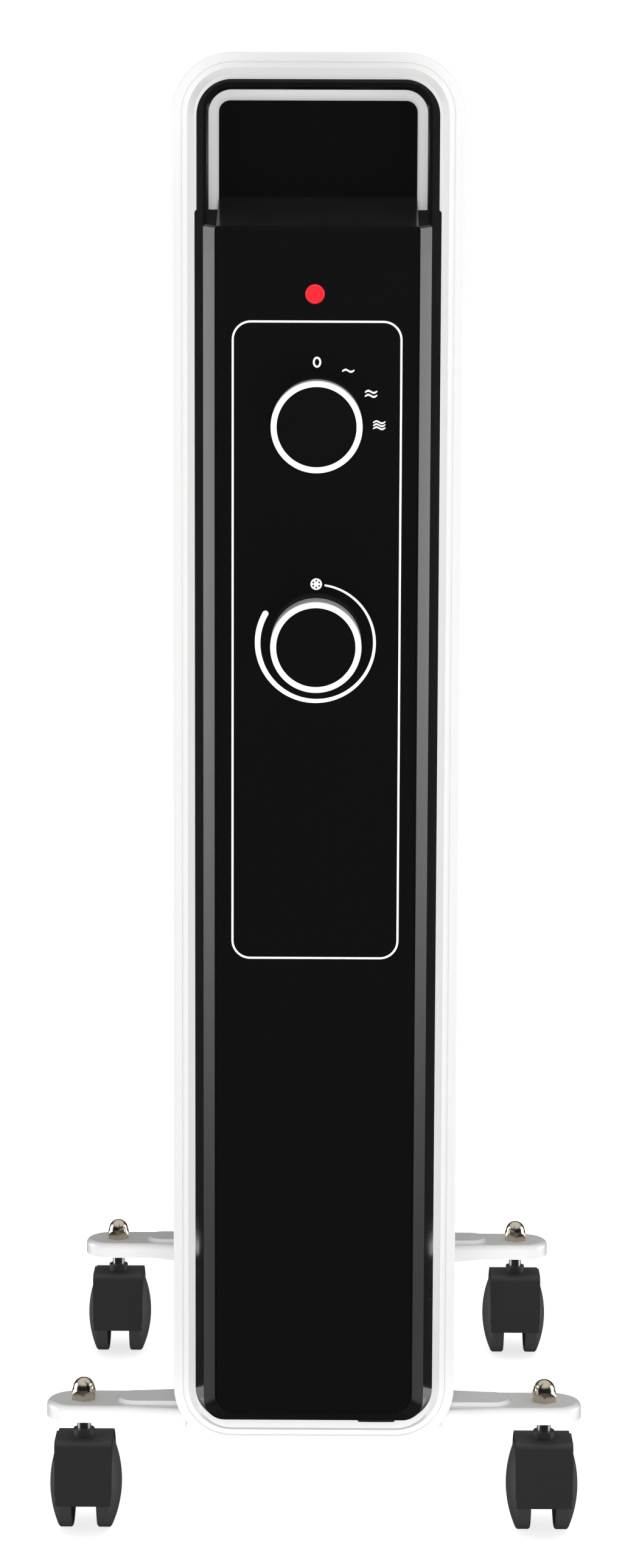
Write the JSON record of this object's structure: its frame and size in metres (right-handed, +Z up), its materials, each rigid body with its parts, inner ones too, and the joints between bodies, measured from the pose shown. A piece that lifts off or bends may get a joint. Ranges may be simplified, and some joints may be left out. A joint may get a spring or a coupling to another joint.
{
  "type": "oil filled radiator heater",
  "caption": "Free-standing oil filled radiator heater: white pressed-steel fins, gloss black front control cover with carry loop, two knobs, lamp, and feet on swivel casters.",
  "frame": {"origin": "on the floor at the centre of the overall box, under the fins", "axes": "+Z up, -Y the way the control panel faces, +X to the right of someone facing the panel"},
  "size_m": [0.232, 0.3872, 0.6355],
  "materials": {
    "fin_enamel": "satin white baked enamel",
    "foot_enamel": "satin white baked enamel",
    "cover_black": "high gloss black",
    "fascia_black": "high gloss black",
    "knob_black": "gloss black",
    "ring_white": "gloss white",
    "lamp_red": "clear red",
    "caster_nylon": "fine matt texture",
    "wheel_nylon": "matt",
    "nickel": "bright nickel plate",
    "zinc_steel": "bright zinc plate",
    "bright_steel": "turned steel",
    "galvanised_plate": "galvanised sheet",
    "shield_aluminium": "mill finish sheet",
    "switch_plastic": "matt heat resistant plastic",
    "insulator_white": "matt heat resistant plastic",
    "seal_rubber": "matt",
    "element_steel": "annealed steel tube",
    "terminal_ceramic": "unglazed"
  },
  "bodies": {
    "body": {"cap_nuts": "nickel", "carry_loop": "cover_black", "caster_stems": "bright_steel", "control_cover": "cover_black", "cord_gland": "seal_rubber", "cover_screws": "zinc_steel", "element_flange": "zinc_steel", "element_gasket": "seal_rubber", "element_terminals": "terminal_ceramic", "fascia": "fascia_black", "fin_1": "fin_enamel", "fin_2": "fin_enamel", "fin_3": "fin_enamel", "fin_4": "fin_enamel", "fin_5": "fin_enamel", "fin_6": "fin_enamel", "fin_7": "fin_enamel", "fin_8": "fin_enamel", "fin_9": "fin_enamel", "front_foot": "foot_enamel", "heat_shield": "shield_aluminium", "heating_tubes": "element_steel", "hub_rings": "fin_enamel", "lamp_holder": "insulator_white", "lamp_lens": "lamp_red", "mounting_plate": "galvanised_plate", "oil_filler_plug": "zinc_steel", "power_switch": "switch_plastic", "rear_foot": "foot_enamel", "shield_spacers": "galvanised_plate", "terminal_block": "insulator_white", "thermal_cutout": "switch_plastic", "thermostat": "switch_plastic", "tip_over_switch": "switch_plastic", "u_bolt_washers": "zinc_steel", "u_bolts": "zinc_steel", "wing_nuts": "zinc_steel"},
    "power_knob": {"power_knob": "knob_black", "power_knob_ring": "ring_white", "power_shaft": "bright_steel"},
    "thermostat_knob": {"thermostat_knob": "knob_black", "thermostat_knob_ring": "ring_white", "thermostat_shaft": "bright_steel"},
    "tip_pendulum": {"tip_pendulum": "bright_steel"},
    "caster_front_left": {"caster_hood_front_left": "caster_nylon", "caster_axle_front_left": "bright_steel"},
    "wheel_left_front_left": {"wheel_left_front_left": "wheel_nylon"},
    "wheel_right_front_left": {"wheel_right_front_left": "wheel_nylon"},
    "caster_front_right": {"caster_hood_front_right": "caster_nylon", "caster_axle_front_right": "bright_steel"},
    "wheel_left_front_right": {"wheel_left_front_right": "wheel_nylon"},
    "wheel_right_front_right": {"wheel_right_front_right": "wheel_nylon"},
    "caster_rear_left": {"caster_hood_rear_left": "caster_nylon", "caster_axle_rear_left": "bright_steel"},
    "wheel_left_rear_left": {"wheel_left_rear_left": "wheel_nylon"},
    "wheel_right_rear_left": {"wheel_right_rear_left": "wheel_nylon"},
    "caster_rear_right": {"caster_hood_rear_right": "caster_nylon", "caster_axle_rear_right": "bright_steel"},
    "wheel_left_rear_right": {"wheel_left_rear_right": "wheel_nylon"},
    "wheel_right_rear_right": {"wheel_right_rear_right": "wheel_nylon"}
  },
  "joints": [
    {"name": "power_knob_turn", "type": "hinge", "parent": "body", "child": "power_knob", "pos_m": [0, -0.1756, 0.4865], "axis": [0, 1, 0], "range_deg": [0, 90]},
    {"name": "thermostat_knob_turn", "type": "hinge", "parent": "body", "child": "thermostat_knob", "pos_m": [0, -0.1756, 0.3988], "axis": [0, 1, 0], "range_deg": [0, 300]},
    {"name": "tip_pendulum_swing", "type": "hinge", "parent": "body", "child": "tip_pendulum", "pos_m": [0, -0.1343, 0.2235], "axis": [0, 1, 0], "range_deg": [-30, 30]},
    {"name": "caster_swivel_front_left", "type": "hinge", "parent": "body", "child": "caster_front_left", "pos_m": [-0.1, -0.107, 0.0478], "axis": [0, 0, 1], "continuous": true},
    {"name": "wheel_left_spin_front_left", "type": "hinge", "parent": "caster_front_left", "child": "wheel_left_front_left", "pos_m": [-0.1, -0.095, 0.02], "axis": [1, 0, 0], "continuous": true},
    {"name": "wheel_right_spin_front_left", "type": "hinge", "parent": "caster_front_left", "child": "wheel_right_front_left", "pos_m": [-0.1, -0.095, 0.02], "axis": [1, 0, 0], "continuous": true},
    {"name": "caster_swivel_front_right", "type": "hinge", "parent": "body", "child": "caster_front_right", "pos_m": [0.1, -0.107, 0.0478], "axis": [0, 0, 1], "continuous": true},
    {"name": "wheel_left_spin_front_right", "type": "hinge", "parent": "caster_front_right", "child": "wheel_left_front_right", "pos_m": [0.1, -0.095, 0.02], "axis": [1, 0, 0], "continuous": true},
    {"name": "wheel_right_spin_front_right", "type": "hinge", "parent": "caster_front_right", "child": "wheel_right_front_right", "pos_m": [0.1, -0.095, 0.02], "axis": [1, 0, 0], "continuous": true},
    {"name": "caster_swivel_rear_left", "type": "hinge", "parent": "body", "child": "caster_rear_left", "pos_m": [-0.1, 0.159, 0.0478], "axis": [0, 0, 1], "continuous": true},
    {"name": "wheel_left_spin_rear_left", "type": "hinge", "parent": "caster_rear_left", "child": "wheel_left_rear_left", "pos_m": [-0.1, 0.171, 0.02], "axis": [1, 0, 0], "continuous": true},
    {"name": "wheel_right_spin_rear_left", "type": "hinge", "parent": "caster_rear_left", "child": "wheel_right_rear_left", "pos_m": [-0.1, 0.171, 0.02], "axis": [1, 0, 0], "continuous": true},
    {"name": "caster_swivel_rear_right", "type": "hinge", "parent": "body", "child": "caster_rear_right", "pos_m": [0.1, 0.159, 0.0478], "axis": [0, 0, 1], "continuous": true},
    {"name": "wheel_left_spin_rear_right", "type": "hinge", "parent": "caster_rear_right", "child": "wheel_left_rear_right", "pos_m": [0.1, 0.171, 0.02], "axis": [1, 0, 0], "continuous": true},
    {"name": "wheel_right_spin_rear_right", "type": "hinge", "parent": "caster_rear_right", "child": "wheel_right_rear_right", "pos_m": [0.1, 0.171, 0.02], "axis": [1, 0, 0], "continuous": true}
  ]
}
